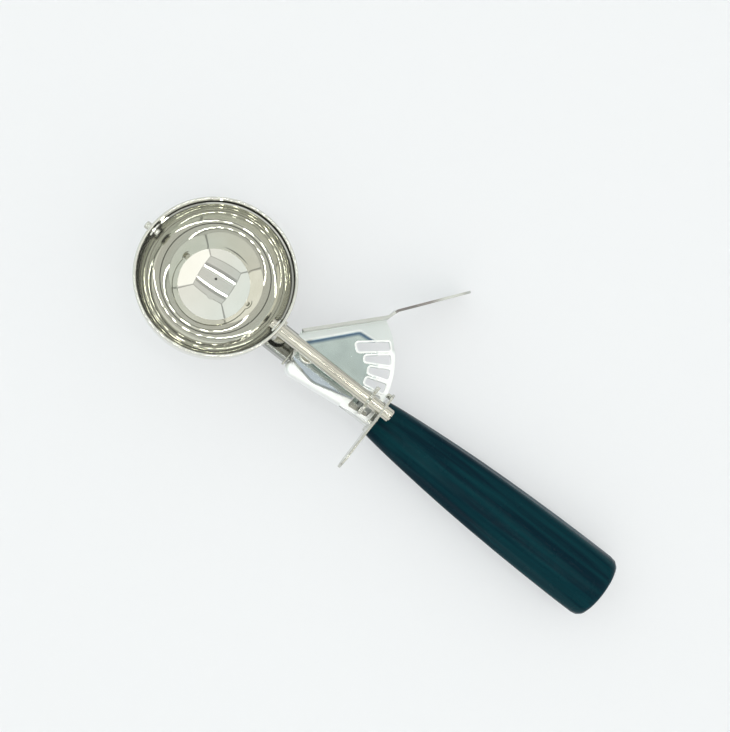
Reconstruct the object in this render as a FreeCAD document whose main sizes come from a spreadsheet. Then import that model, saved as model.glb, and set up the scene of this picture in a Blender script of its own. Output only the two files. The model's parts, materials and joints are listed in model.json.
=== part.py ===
"""Thumb-lever ice cream disher.

Tool axes: X runs along the scraper rod from the bowl to the handle, Y points to the side of
the thumb tab and Z points out of the bowl's mouth. The scraper turns about the X axis, and
the centre of the bowl's sphere is the origin. At the end every piece is turned and set down
as the disher lies on a table: on its bowl, the thumb tab's lower corner and the handle's butt.
"""
import FreeCAD, Part
import math
import os

import Sketcher
from FreeCAD import Placement, Rotation, Vector

doc = FreeCAD.newDocument("disher")
sheet = doc.addObject("Spreadsheet::Sheet", "sizes")

# Driving dimensions in millimetres and degrees
SIZES = [
    ("bowl_inner_radius", 28.2, "inside of the bowl's sphere"),
    ("bowl_wall", 0.8, "sheet of the bowl"),
    ("rim_height", 3.8, "straight wall above the scraper's axis"),
    ("bead_radius", 0.55, "rolled bead of the rim"),
    ("running_clearance", 0.05, "radial clearance of a shaft in its hole"),
    ("free_clearance", 0.3, "gap between pieces that pass each other"),
    ("rod_radius", 2.4, "scraper rod"),
    ("rod_inset", 2.3, "rod's end inside the scraper strip"),
    ("rod_overhang", 3.45, "rod behind the guard plate"),
    ("rod_chamfer", 0.4, "chamfer of the rod's ends"),
    ("blade_thickness", 0.6, "scraper strip"),
    ("blade_angle", 13.0, "width of the strip as an angle about its axis"),
    ("blade_park_angle", 5.0, "upper edge of the parked strip above the rim plane"),
    ("eye_radius", 3.7, "round ends of the strip"),
    ("pin_radius", 1.0, "pin through the front of the bowl"),
    ("pin_head_radius", 1.45, "outer head of the pin"),
    ("pin_head_length", 2.4, "outer head of the pin"),
    ("pin_knob_radius", 1.6, "inner knob of the pin"),
    ("pin_knob_length", 1.3, "inner knob of the pin"),
    ("pin_rounding", 0.4, "rounded edges of the pin's ends"),
    ("pinion_teeth", 7, "teeth of the star pinion"),
    ("pinion_thickness", 1.3, "star pinion"),
    ("pinion_root_radius", 3.6, "disc between the teeth"),
    ("tooth_addendum", 0.85, "tooth beyond the pitch circle"),
    ("tooth_root_width", 2.0, "tooth where it leaves the disc"),
    ("tooth_tip_width", 1.3, "tooth at its rounded tip"),
    ("pivot_gap", 13.75, "outside of the bowl to the lever's rivet"),
    ("gear_reach", 27.1, "rivet to the middle of the pinion"),
    ("slot_pitch_angle", 10.25, "angle from slot to slot"),
    ("slot_count", 6, "slots of the lever"),
    ("first_slot_angle", 45.9, "slot nearest to the thumb tab"),
    ("first_slot_width", 3.4, "the first slot, whose sides run parallel"),
    ("rib_width", 1.6, "web between two slots"),
    ("slot_outer_length", 3.6, "slots beyond the middle of the pinion"),
    ("slot_inner_length", 4.2, "most slots this side of the pinion's middle"),
    ("second_slot_inner_length", 6.1, "the second slot this side of it"),
    ("first_slot_inner_length", 8.6, "the longest slot this side of it"),
    ("slot_rounding", 0.8, "rounded corners of the slots"),
    ("last_slot_border", 1.2, "edge left beside the last slot"),
    ("lip_width", 0.65, "raised lip round each slot"),
    ("lip_height", 0.3, "raised lip round each slot"),
    ("fan_border", 1.5, "outer arc of the lever beyond the slots"),
    ("fan_rounding", 1.5, "lower end of the outer arc"),
    ("lever_thickness", 1.2, "sheet of the lever"),
    ("upper_edge_offset", 9.55, "rivet to the flanged edge"),
    ("upper_edge_angle", 48.1, "direction of the flanged edge"),
    ("lower_edge_offset", 9.75, "rivet to the rolled edge"),
    ("lower_edge_angle", 7.6, "direction of the rolled edge"),
    ("lobe_radius", 3.3, "rounded end of the rolled edge"),
    ("lobe_setback", 2.0, "middle of the rounded end behind the rivet"),
    ("nose_reach", 6.0, "rivet to the nose of the lever"),
    ("roll_start_angle", 151.5, "direction in which the rolled edge starts at its round end"),
    ("roll_width", 2.0, "rounding of the rolled edge"),
    ("roll_drop", 2.4, "rolled edge below the sheet"),
    ("roll_reach", 19.0, "rolled edge ahead of the rivet"),
    ("flange_height", 3.0, "flange above the sheet"),
    ("flange_setback", 0.5, "flange behind the rivet"),
    ("flange_reach", 31.6, "flange ahead of the rivet"),
    ("tab_angle", 53.8, "direction of the thumb tab"),
    ("tab_offset", 7.65, "rivet to the thumb tab's sheet"),
    ("tab_start", 36.6, "rivet to the start of the thumb tab"),
    ("tab_reach", 65.3, "rivet to the end of the thumb tab"),
    ("tab_width", 16.4, "thumb tab"),
    ("tab_neck_width", 7.0, "thumb tab at its start"),
    ("tab_shoulder", 7.0, "length over which the tab grows wide"),
    ("tab_thickness", 1.0, "thumb tab"),
    ("tab_rounding", 6.0, "rounded far corners of the tab"),
    ("tab_lean", 9.0, "lean of the tab towards the handle"),
    ("post_radius", 2.2, "rivet between its heads"),
    ("rivet_head_radius", 3.4, "heads of the rivet"),
    ("rivet_head_height", 1.0, "heads of the rivet"),
    ("rivet_rounding", 0.7, "rounded edge of the rivet's upper head"),
    ("bush_radius", 3.2, "spacer sleeve on the rivet"),
    ("spring_radius", 5.3, "middle of the spring's wire"),
    ("wire_radius", 0.4, "wire of the spring"),
    ("wire_gap", 0.1, "spring above the shank"),
    ("spring_rise", 2.25, "lowest to highest middle of the wire"),
    ("spring_turns", 2.25, "turns of the spring"),
    ("fixed_leg", 10.0, "leg of the spring at its peg"),
    ("moving_leg", 8.0, "leg of the spring at the lever"),
    ("peg_radius", 0.7, "peg that holds the spring's leg"),
    ("peg_reach", 8.0, "rivet to the peg"),
    ("peg_height", 1.7, "peg above the shank"),
    ("shank_drop", 9.9, "rod's axis to the top of the shank"),
    ("shank_width", 11.2, "shank"),
    ("shank_thickness", 1.5, "sheet of the shank"),
    ("shank_lip", 3.0, "side walls of the shank below its web"),
    ("shank_rounding", 1.2, "rounded upper edges of the shank"),
    ("foot_thickness", 1.5, "foot of the shank on the bowl"),
    ("foot_drop", 19.0, "rod's axis to the lower end of the foot"),
    ("bracket_thickness", 1.2, "bearing bracket"),
    ("bracket_width", 6.9, "bearing bracket"),
    ("bracket_rise", 1.6, "bearing bracket above the rod's axis"),
    ("tongue_drop", 5.2, "rod's axis to the top of the bracket's tongue"),
    ("tongue_length", 4.4, "outside of the bowl to the end of the tongue"),
    ("guard_gap", 5.65, "middle of the pinion to the guard plate"),
    ("guard_thickness", 0.9, "sheet of the guard plate"),
    ("guard_width", 14.2, "guard plate where the handle meets it"),
    ("guard_rise", 3.2, "guard plate above the rod's axis"),
    ("guard_drop", 21.4, "guard plate below the rod's axis"),
    ("guard_rounding", 3.0, "rounded corners of the guard plate"),
    ("finger_reach", 25.8, "rod's axis to the end of the finger rest"),
    ("finger_width", 10.4, "finger rest"),
    ("ear_length", 1.5, "folded ears of the guard plate"),
    ("ear_width", 4.2, "folded ears of the guard plate"),
    ("ear_thickness", 1.0, "folded ears of the guard plate"),
    ("ear_spread", 11.2, "gap between the ears"),
    ("ferrule_length", 1.1, "collar in front of the handle"),
    ("ferrule_width", 12.4, "collar in front of the handle"),
    ("handle_length", 103.8, "handle"),
    ("handle_front_width", 15.2, "front face of the handle"),
    ("handle_neck_width", 18.2, "handle near its front"),
    ("handle_neck_share", 0.115, "that place as a share of the length"),
    ("handle_waist_width", 21.4, "handle at its slim part"),
    ("handle_waist_share", 0.288, "that place as a share of the length"),
    ("handle_belly_width", 24.0, "handle in its middle"),
    ("handle_belly_share", 0.5, "that place as a share of the length"),
    ("handle_heel_width", 25.8, "handle at its widest"),
    ("handle_heel_share", 0.865, "that place as a share of the length"),
    ("handle_butt_width", 25.6, "end of the handle"),
    ("handle_height", 21.9, "handle at its widest, from below to above"),
    ("handle_front_drop", 15.2, "rod's axis to the middle of the front face"),
    ("handle_butt_drop", 11.8, "rod's axis to the middle of the butt"),
    ("butt_rounding", 3.8, "rounded edge of the butt"),
    ("tang_width", 6.0, "tang of the shank"),
    ("tang_height", 3.0, "tang of the shank"),
    ("tang_root", 5.5, "start of the tang in front of the guard plate"),
    ("tang_length", 60.0, "tang inside the handle"),
]

for row, (alias, number, note) in enumerate(SIZES, start=1):
    sheet.set("A%d" % row, alias)
    sheet.set("B%d" % row, str(number))
    sheet.set("C%d" % row, note)
    sheet.setAlias("B%d" % row, alias)
doc.recompute()

# Places that follow from the sizes, written once as expressions on the sheet
BOWL_OUTER = "(sizes.bowl_inner_radius + sizes.bowl_wall)"
BLADE_OUTER = "(sizes.bowl_inner_radius - sizes.free_clearance)"
BLADE_INNER = f"({BLADE_OUTER} - sizes.blade_thickness)"
PITCH_RADIUS = "(sizes.gear_reach * sizes.slot_pitch_angle * sizes.pinion_teeth / 360)"
PIVOT = f"({BOWL_OUTER} + sizes.pivot_gap)"
PINION_PLACE = f"({PIVOT} + sizes.gear_reach)"
SLOT_OUTER = "(sizes.gear_reach + sizes.slot_outer_length)"
FAN_RADIUS = f"({SLOT_OUTER} + sizes.fan_border)"
PLATE_TOP = f"(sizes.lever_thickness / 2 - {PITCH_RADIUS})"
PLATE_BOTTOM = f"(-sizes.lever_thickness / 2 - {PITCH_RADIUS})"
SHANK_TOP = "(-sizes.shank_drop)"
SHANK_UNDER = "(-sizes.shank_drop - sizes.shank_thickness)"
GUARD_FRONT = f"({PINION_PLACE} + sizes.guard_gap)"
GUARD_BACK = f"({GUARD_FRONT} + sizes.guard_thickness)"
HANDLE_FRONT = f"({GUARD_BACK} + sizes.ferrule_length)"
ROD_FRONT = f"({BLADE_INNER} - sizes.rod_inset)"
ROD_BACK = f"({GUARD_BACK} + sizes.rod_overhang)"
FLATNESS = "(sizes.handle_height / sizes.handle_heel_width)"
CUT_START = "(sizes.bowl_inner_radius / 2)"
ROD_HOLE = "(sizes.rod_radius + sizes.running_clearance)"
PIN_HOLE = "(sizes.pin_radius + sizes.running_clearance)"
POST_HOLE = "(sizes.post_radius + sizes.running_clearance)"
PEG_SIDE = "(sizes.spring_radius - sizes.wire_radius - sizes.running_clearance - sizes.peg_radius)"

TINY = 1e-6
LEVELLING_STEPS = 12
UP = Vector(0, 0, 1)
ALONG = Vector(1, 0, 0)
ACROSS = Vector(0, 1, 0)


def size(text):
    """Number that an alias, or an expression on the sheet, gives."""
    if text.isidentifier():
        text = "sizes." + text
    return float(sheet.evalExpression(text))


def polar(radius, degrees):
    """Point at this distance from the sketch's origin, in this direction."""
    return Vector(radius * math.cos(math.radians(degrees)), radius * math.sin(math.radians(degrees)), 0)


def arc(centre, radius, first, last):
    """Arc between two directions in degrees, counter-clockwise."""
    return Part.ArcOfCircle(Part.Circle(centre, UP, radius), math.radians(first), math.radians(last))


def lines(points):
    """Straight edges from point to point, not closed."""
    return [Part.LineSegment(first, second) for first, second in zip(points, points[1:])]


def rounded_outline(corners, radii):
    """Closed outline through the corners, each with a round of its own radius."""
    edges = []
    ends = []
    for number, (corner, radius) in enumerate(zip(corners, radii)):
        back = (corners[number - 1] - corner).normalize()
        ahead = (corners[(number + 1) % len(corners)] - corner).normalize()
        half = back.getAngle(ahead) / 2
        reach = radius / math.tan(half)
        start = corner + back * reach
        finish = corner + ahead * reach
        if radius > 0:
            inward = (back + ahead).normalize()
            middle = corner + inward * (radius / math.sin(half) - radius)
            edges.append(Part.Arc(start, middle, finish))
        ends.append((start, finish))
    for number, (start, finish) in enumerate(ends):
        following = ends[(number + 1) % len(ends)][0]
        if finish.distanceToPoint(following) > TINY:
            edges.append(Part.LineSegment(finish, following))
    return edges


def add_body(name):
    """Body of one sub-part, labelled with its name."""
    body = doc.addObject("PartDesign::Body", name + "_body")
    body.Label = name
    return body


def add_sketch(body, name, role, offset=None, edges=()):
    """Sketch on one of the body's own origin planes, moved along the plane's normal."""
    sketch = body.newObject("Sketcher::SketchObject", name)
    plane = [item for item in body.Origin.OriginFeatures if item.Role == role][0]
    sketch.AttachmentSupport = [(plane, "")]
    sketch.MapMode = "FlatFace"
    if offset:
        sketch.setExpression("AttachmentOffset.Base.z", offset)
    if edges:
        sketch.addGeometry(list(edges), False)
    return sketch


def add_circle(sketch, radius, centre=Vector(0, 0, 0)):
    """Circle whose radius is bound to the sheet."""
    circle = sketch.addGeometry(Part.Circle(centre, UP, size(radius)), False)
    bound = sketch.addConstraint(Sketcher.Constraint("Radius", circle, size(radius)))
    sketch.setExpression("Constraints[%d]" % bound, radius)


def add_pad(body, sketch, length, both_ways=False):
    """Pad a sketch along its normal by a length on the sheet."""
    feature = body.newObject("PartDesign::Pad", sketch.Name + "_pad")
    feature.Profile = sketch
    feature.setExpression("Length", length)
    if both_ways:
        feature.SideType = "Symmetric"
    return feature


def add_pocket(body, sketch, forward=True, length=None):
    """Cut a sketch out of the body, along its normal or against it, through all or by a length."""
    feature = body.newObject("PartDesign::Pocket", sketch.Name + "_pocket")
    feature.Profile = sketch
    feature.Reversed = forward
    feature.Type = "ThroughAll"
    if length:
        feature.Type = "Length"
        feature.setExpression("Length", length)
    return feature


def add_turn(body, sketch, axis, angle=None):
    """Revolve a sketch about one of its own axes, all round or half of the angle to each side."""
    feature = body.newObject("PartDesign::Revolution", sketch.Name + "_turn")
    feature.Profile = sketch
    feature.ReferenceAxis = (sketch, [axis])
    if angle:
        feature.setExpression("Angle", angle)
        feature.Midplane = True
    return feature


def add_box(name, low, high):
    """Box between two corners, each of them three expressions on the sheet."""
    solid = doc.addObject("Part::Box", name)
    for side, start, finish in zip(("Length", "Width", "Height"), low, high):
        solid.setExpression(side, f"({finish}) - ({start})")
    for letter, start in zip("xyz", low):
        solid.setExpression("Placement.Base." + letter, start)
    return solid


def add_sphere(name, radius):
    """Sphere about the middle of the bowl."""
    solid = doc.addObject("Part::Sphere", name)
    solid.setExpression("Radius", radius)
    return solid


def add_cylinder(name, radius, height, rotation=Rotation(), base=("0", "0", "0")):
    """Cylinder with its size and its foot on the sheet."""
    solid = doc.addObject("Part::Cylinder", name)
    solid.setExpression("Radius", radius)
    solid.setExpression("Height", height)
    solid.Placement = Placement(Vector(0, 0, 0), rotation)
    for letter, start in zip("xyz", base):
        solid.setExpression("Placement.Base." + letter, start)
    return solid


def cut(name, base, tool):
    """First solid without the second."""
    feature = doc.addObject("Part::Cut", name)
    feature.Base = base
    feature.Tool = tool
    return feature


def common(name, pieces):
    """What the solids share."""
    feature = doc.addObject("Part::MultiCommon", name)
    feature.Shapes = pieces
    return feature


def fuse(name, pieces):
    """The solids as one."""
    feature = doc.addObject("Part::MultiFuse", name)
    feature.Shapes = pieces
    feature.Refine = True
    return feature


TO_X = Rotation(ACROSS, 90)


def make_bowl():
    """Spun bowl: half a sphere, a short straight wall, a rolled bead and two bearing holes."""
    body = add_body("bowl")
    inner = size("bowl_inner_radius")
    outer = size(BOWL_OUTER)
    top = size("rim_height")
    bead = size("bead_radius")
    centre = Vector(inner + bead, top, 0)
    meeting = math.degrees(math.acos((outer - centre.x) / bead))
    under = top - bead * math.sin(math.radians(meeting))
    edges = [arc(Vector(0, 0, 0), inner, 270, 360), arc(Vector(0, 0, 0), outer, 270, 360)]
    edges += lines([Vector(inner, 0, 0), Vector(inner, top, 0)])
    edges += lines([Vector(outer, 0, 0), Vector(outer, under, 0)])
    edges += lines([Vector(0, -inner, 0), Vector(0, -outer, 0)])
    edges.append(arc(centre, bead, -meeting, 180))
    add_turn(body, add_sketch(body, "bowl_section", "XZ_Plane", edges=edges), "V_Axis")
    rod_hole = add_sketch(body, "bowl_rod_hole", "YZ_Plane")
    add_circle(rod_hole, ROD_HOLE)
    add_pocket(body, rod_hole, forward=True)
    pin_hole = add_sketch(body, "bowl_pin_hole", "YZ_Plane")
    add_circle(pin_hole, PIN_HOLE)
    add_pocket(body, pin_hole, forward=False)
    return body


def make_scraper_blade():
    """Strip of a sphere that sweeps the bowl, with a round eye at each end."""
    body = add_body("scraper_blade")
    outer = size(BLADE_OUTER)
    inner = size(BLADE_INNER)
    eye = math.degrees(math.asin(size("eye_radius") / outer))
    middle = Vector(0, 0, 0)
    edges = [arc(middle, outer, 0, 180), arc(middle, inner, 0, 180)]
    edges += lines([Vector(inner, 0, 0), Vector(outer, 0, 0)])
    edges += lines([Vector(-inner, 0, 0), Vector(-outer, 0, 0)])
    add_turn(body, add_sketch(body, "strip_ring", "XY_Plane", edges=edges), "H_Axis", "sizes.blade_angle")
    for name, side, first, last in (("rear", 1, 0, eye), ("front", -1, 180 - eye, 180)):
        edges = [arc(middle, outer, first, last), arc(middle, inner, first, last)]
        edges += lines([Vector(side * inner, 0, 0), Vector(side * outer, 0, 0)])
        open_end = eye if side > 0 else 180 - eye
        edges += lines([polar(inner, open_end), polar(outer, open_end)])
        add_turn(body, add_sketch(body, name + "_eye", "XY_Plane", edges=edges), "H_Axis")
    rear_hole = add_sketch(body, "blade_rod_hole", "YZ_Plane")
    add_circle(rear_hole, "sizes.rod_radius")
    add_pocket(body, rear_hole, forward=True)
    front_hole = add_sketch(body, "blade_pin_hole", "YZ_Plane")
    add_circle(front_hole, PIN_HOLE)
    add_pocket(body, front_hole, forward=False)
    return body


def make_scraper_rod():
    """Round rod that turns the scraper, chamfered at both ends."""
    body = add_body("scraper_rod")
    section = add_sketch(body, "rod_section", "YZ_Plane", ROD_FRONT)
    add_circle(section, "sizes.rod_radius")
    rod = add_pad(body, section, f"{ROD_BACK} - {ROD_FRONT}")
    doc.recompute()
    ends = ["Edge%d" % (number + 1) for number, edge in enumerate(rod.Shape.Edges)
            if isinstance(edge.Curve, Part.Circle)]
    chamfer = body.newObject("PartDesign::Chamfer", "rod_chamfer")
    chamfer.Base = (rod, ends)
    chamfer.setExpression("Size", "sizes.rod_chamfer")
    return body


def make_star_pinion():
    """Thin star wheel whose rounded teeth reach through the lever's slots."""
    body = add_body("star_pinion")
    back = f"{PINION_PLACE} - sizes.pinion_thickness / 2"
    disc = add_sketch(body, "pinion_disc", "YZ_Plane", back)
    add_circle(disc, "sizes.pinion_root_radius")
    add_pad(body, disc, "sizes.pinion_thickness")
    root = size("pinion_root_radius")
    half_root = size("tooth_root_width") / 2
    half_tip = size("tooth_tip_width") / 2
    crown = size(PITCH_RADIUS) + size("tooth_addendum") - half_tip
    inside = size("rod_radius")
    sides = [Vector(-half_tip, -crown, 0), Vector(-half_root, -root, 0), Vector(-half_root, -inside, 0),
             Vector(half_root, -inside, 0), Vector(half_root, -root, 0), Vector(half_tip, -crown, 0)]
    edges = lines(sides) + [arc(Vector(0, -crown, 0), half_tip, 180, 360)]
    tooth = add_sketch(body, "pinion_tooth", "YZ_Plane", back, edges)
    tooth_pad = add_pad(body, tooth, "sizes.pinion_thickness")
    doc.recompute()
    star = body.newObject("PartDesign::PolarPattern", "pinion_star")
    star.Originals = [tooth_pad]
    star.Axis = (tooth, ["N_Axis"])
    star.Angle = 360
    star.setExpression("Occurrences", "sizes.pinion_teeth")
    body.Tip = star
    bore = add_sketch(body, "pinion_bore", "YZ_Plane")
    add_circle(bore, "sizes.rod_radius")
    body.Tip = add_pocket(body, bore, forward=True)
    return body


def make_tip_pin():
    """Pin through the front of the bowl, with a rounded head outside and a knob inside."""
    body = add_body("tip_pin")
    head_face = -size(BOWL_OUTER) - size("running_clearance")
    knob_face = -size(BLADE_INNER) + size("free_clearance")
    ends = [head_face - size("pin_head_length"), knob_face + size("pin_knob_length")]
    corners = [
        Vector(ends[0], 0, 0), Vector(ends[0], size("pin_head_radius"), 0),
        Vector(head_face, size("pin_head_radius"), 0), Vector(head_face, size("pin_radius"), 0),
        Vector(knob_face, size("pin_radius"), 0), Vector(knob_face, size("pin_knob_radius"), 0),
        Vector(ends[1], size("pin_knob_radius"), 0), Vector(ends[1], 0, 0),
    ]
    rounding = size("pin_rounding")
    edges = rounded_outline(corners, [0, rounding, 0, 0, 0, 0, rounding, 0])
    add_turn(body, add_sketch(body, "pin_section", "XY_Plane", edges=edges), "H_Axis")
    return body


def make_pivot_rivet():
    """Rivet that the lever turns on, from its lower head to its rounded upper head."""
    body = add_body("pivot_rivet")
    head = size("rivet_head_radius")
    post = size("post_radius")
    under = size(SHANK_UNDER)
    over = size(PLATE_TOP) + size("free_clearance")
    top = over + size("rivet_head_height")
    bottom = under - size("rivet_head_height")
    corners = [Vector(0, bottom, 0), Vector(head, bottom, 0), Vector(head, under, 0), Vector(post, under, 0),
               Vector(post, over, 0), Vector(head, over, 0), Vector(head, top, 0), Vector(0, top, 0)]
    rounding = size("rivet_rounding")
    section = add_sketch(body, "rivet_section", "XZ_Plane", edges=rounded_outline(
        corners, [0, rounding, 0, 0, 0, 0, rounding, 0]))
    section.setExpression("AttachmentOffset.Base.x", PIVOT)
    add_turn(body, section, "V_Axis")
    return body


def make_pivot_bush():
    """Spacer sleeve that holds the lever above the shank, inside the spring."""
    body = add_body("pivot_bush")
    ring = add_sketch(body, "bush_ring", "XY_Plane", SHANK_TOP)
    ring.setExpression("AttachmentOffset.Base.x", PIVOT)
    add_circle(ring, "sizes.bush_radius")
    add_circle(ring, POST_HOLE)
    add_pad(body, ring, f"{PLATE_BOTTOM} - sizes.free_clearance - {SHANK_TOP}")
    return body


def make_return_spring():
    """Coil round the sleeve, with one straight leg on the peg and one under the lever."""
    helix = doc.addObject("Part::Helix", "spring_helix")
    helix.setExpression("Radius", "sizes.spring_radius")
    helix.setExpression("Height", "sizes.spring_rise")
    helix.setExpression("Pitch", "sizes.spring_rise / sizes.spring_turns")
    wire = doc.addObject("Part::Circle", "spring_wire")
    wire.setExpression("Radius", "sizes.wire_radius")
    wire.Placement = Placement(Vector(size("spring_radius"), 0, 0), Rotation(ALONG, 90))
    wire.setExpression("Placement.Base.x", "sizes.spring_radius")
    coil = doc.addObject("Part::Sweep", "spring_coil")
    coil.Sections = [wire]
    coil.Spine = (helix, ["Edge1"])
    coil.Solid = True
    coil.Frenet = True
    fixed = add_cylinder("spring_fixed_leg", "sizes.wire_radius", "sizes.fixed_leg",
                         Rotation(ALONG, 90), ("sizes.spring_radius", "0", "0"))
    end = polar(size("spring_radius"), 360 * size("spring_turns"))
    heading = polar(1, 360 * size("spring_turns") + 90)
    moving = add_cylinder("spring_moving_leg", "sizes.wire_radius", "sizes.moving_leg",
                          Rotation(UP, heading), (str(end.x), str(end.y), "sizes.spring_rise"))
    spring = fuse("return_spring_solid", [coil, fixed, moving])
    spring.Label = "return_spring"
    return spring


def make_spring_peg():
    """Peg on the shank that the spring's fixed leg bears on."""
    body = add_body("spring_peg")
    foot = add_sketch(body, "peg_foot", "XY_Plane", SHANK_TOP)
    foot.setExpression("AttachmentOffset.Base.x", PIVOT + " + sizes.peg_reach")
    foot.setExpression("AttachmentOffset.Base.y", PEG_SIDE)
    add_circle(foot, "sizes.peg_radius")
    add_pad(body, foot, "sizes.peg_height")
    return body


def edge_frame(offset, degrees, side):
    """Foot of the square from the rivet to a straight edge, and the edge's direction."""
    return polar(offset, degrees + side * 90), polar(1, degrees)


def lever_outline():
    """Flat sheet of the lever, from the nose round the flanged edge, the arc and the rolled edge."""
    fan = size(FAN_RADIUS)
    upper_foot, upper_way = edge_frame(size("upper_edge_offset"), size("upper_edge_angle"), 1)
    lower_foot, lower_way = edge_frame(size("lower_edge_offset"), size("lower_edge_angle"), -1)
    outward = Vector(lower_foot).normalize()
    roll_foot = lower_foot - outward * size("roll_width")
    lobe = lobe_centre()
    lobe_inside = size("lobe_radius") - size("roll_width")
    lobe_start = lobe + polar(lobe_inside, size("roll_start_angle"))
    lobe_end = lobe + outward * lobe_inside
    flange_start = upper_foot - upper_way * size("flange_setback")
    upper_corner = upper_foot + upper_way * math.sqrt(fan ** 2 - size("upper_edge_offset") ** 2)
    roll_end = roll_foot + lower_way * size("roll_reach")
    edge_start = lower_foot + lower_way * size("roll_reach")
    corner = lower_foot + lower_way * math.sqrt(fan ** 2 - size("lower_edge_offset") ** 2)
    rounding = size("fan_rounding")
    inset = size("lower_edge_offset") - rounding
    round_reach = math.sqrt((fan - rounding) ** 2 - inset ** 2)
    round_centre = lower_foot - outward * rounding + lower_way * round_reach
    round_on_arc = Vector(round_centre).normalize() * fan
    round_on_edge = round_centre + outward * rounding
    round_middle = round_centre + (corner - round_centre).normalize() * rounding
    arc_middle = polar(fan, (size("upper_edge_angle") + size("lower_edge_angle")) / 2)
    nose_middle = polar(size("nose_reach"), 180)
    return [
        Part.Arc(flange_start, nose_middle, lobe_start),
        Part.Arc(lobe_start, lobe + polar(lobe_inside, 180 + size("lower_edge_angle")), lobe_end),
        Part.LineSegment(lobe_end, roll_end),
        Part.LineSegment(roll_end, edge_start),
        Part.LineSegment(edge_start, round_on_edge),
        Part.Arc(round_on_edge, round_middle, round_on_arc),
        Part.Arc(round_on_arc, arc_middle, upper_corner),
        Part.LineSegment(upper_corner, flange_start),
    ]


def lobe_centre():
    """Middle of the rounded end of the rolled edge."""
    foot, way = edge_frame(size("lower_edge_offset") - size("lobe_radius"), size("lower_edge_angle"), -1)
    return foot - way * size("lobe_setback")


def beside(degrees, offset, radius):
    """Point at a radius on the line that runs along a direction, this far to its left."""
    return polar(math.sqrt(radius ** 2 - offset ** 2), degrees) + polar(offset, degrees + 90)


def slot_outlines(grow=0):
    """Outlines of all slots, each between two webs of even width, or of the lips round them."""
    pitch = size("slot_pitch_angle")
    half_rib = size("rib_width") / 2 - grow
    count = int(size("slot_count"))
    lengths = [size("first_slot_inner_length"), size("second_slot_inner_length")]
    lengths += [size("slot_inner_length")] * (count - len(lengths))
    outer = size(SLOT_OUTER) + grow
    edges = []
    for number, length in enumerate(lengths):
        web = size("first_slot_angle") - (number + 0.5) * pitch
        inner = size("gear_reach") - length - grow
        upper = (web + pitch, -half_rib)
        lower = (web, half_rib)
        if number == 0:
            upper = (web, half_rib + size("first_slot_width") + 2 * grow)
        if number == count - 1:
            lower = (size("lower_edge_angle"), size("last_slot_border") - size("lower_edge_offset") - grow)
        corners = [beside(*upper, inner), beside(*upper, outer), beside(*lower, outer), beside(*lower, inner)]
        edges += rounded_outline(corners, [size("slot_rounding") + grow] * 4)
    return edges


def roll_section(start):
    """Section of the rolled edge from a distance out: a quarter round off the sheet, then down."""
    width = size("roll_width")
    top = size(PLATE_TOP)
    bottom = size(PLATE_BOTTOM) - size("roll_drop")
    middle = Vector(start, top - width, 0)
    inside = width - size("lever_thickness")
    edges = [arc(middle, width, 0, 90), arc(middle, inside, 0, 90)]
    edges += lines([Vector(start, top, 0), Vector(start, middle.y + inside, 0)])
    edges += lines([Vector(start + width, middle.y, 0), Vector(start + width, bottom, 0),
                    Vector(start + inside, bottom, 0), Vector(start + inside, middle.y, 0)])
    return edges


def facing(origin, across, upward):
    """Placement of a sketch whose own axes point along these two directions."""
    return Placement(origin, Rotation(across, upward, across.cross(upward), "XYZ"))


def rectangle(half_width, half_height):
    """Four edges round the sketch's origin."""
    return lines([Vector(-half_width, -half_height, 0), Vector(half_width, -half_height, 0),
                  Vector(half_width, half_height, 0), Vector(-half_width, half_height, 0),
                  Vector(-half_width, -half_height, 0)])


def add_rolled_edge(body, pivot):
    """Rolled lower edge of the lever: straight along the edge, then round the lobe."""
    outward, along = edge_frame(1, size("lower_edge_angle"), -1)
    lobe = pivot + lobe_centre()
    inside = size("lobe_radius") - size("roll_width")
    length = size("roll_reach") + size("lobe_setback")
    straight = add_sketch(body, "lever_roll", "XY_Plane", edges=roll_section(inside))
    straight.AttachmentOffset = facing(lobe + along * length, outward, UP)
    add_pad(body, straight, "sizes.roll_reach + sizes.lobe_setback")
    half_turn = (size("lower_edge_angle") + 270 - size("roll_start_angle")) / 2
    round_end = add_sketch(body, "lever_lobe", "XY_Plane", edges=roll_section(inside))
    round_end.AttachmentOffset = facing(lobe, polar(1, size("roll_start_angle") + half_turn), UP)
    add_turn(body, round_end, "V_Axis", "sizes.lower_edge_angle + 270 - sizes.roll_start_angle")


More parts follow.
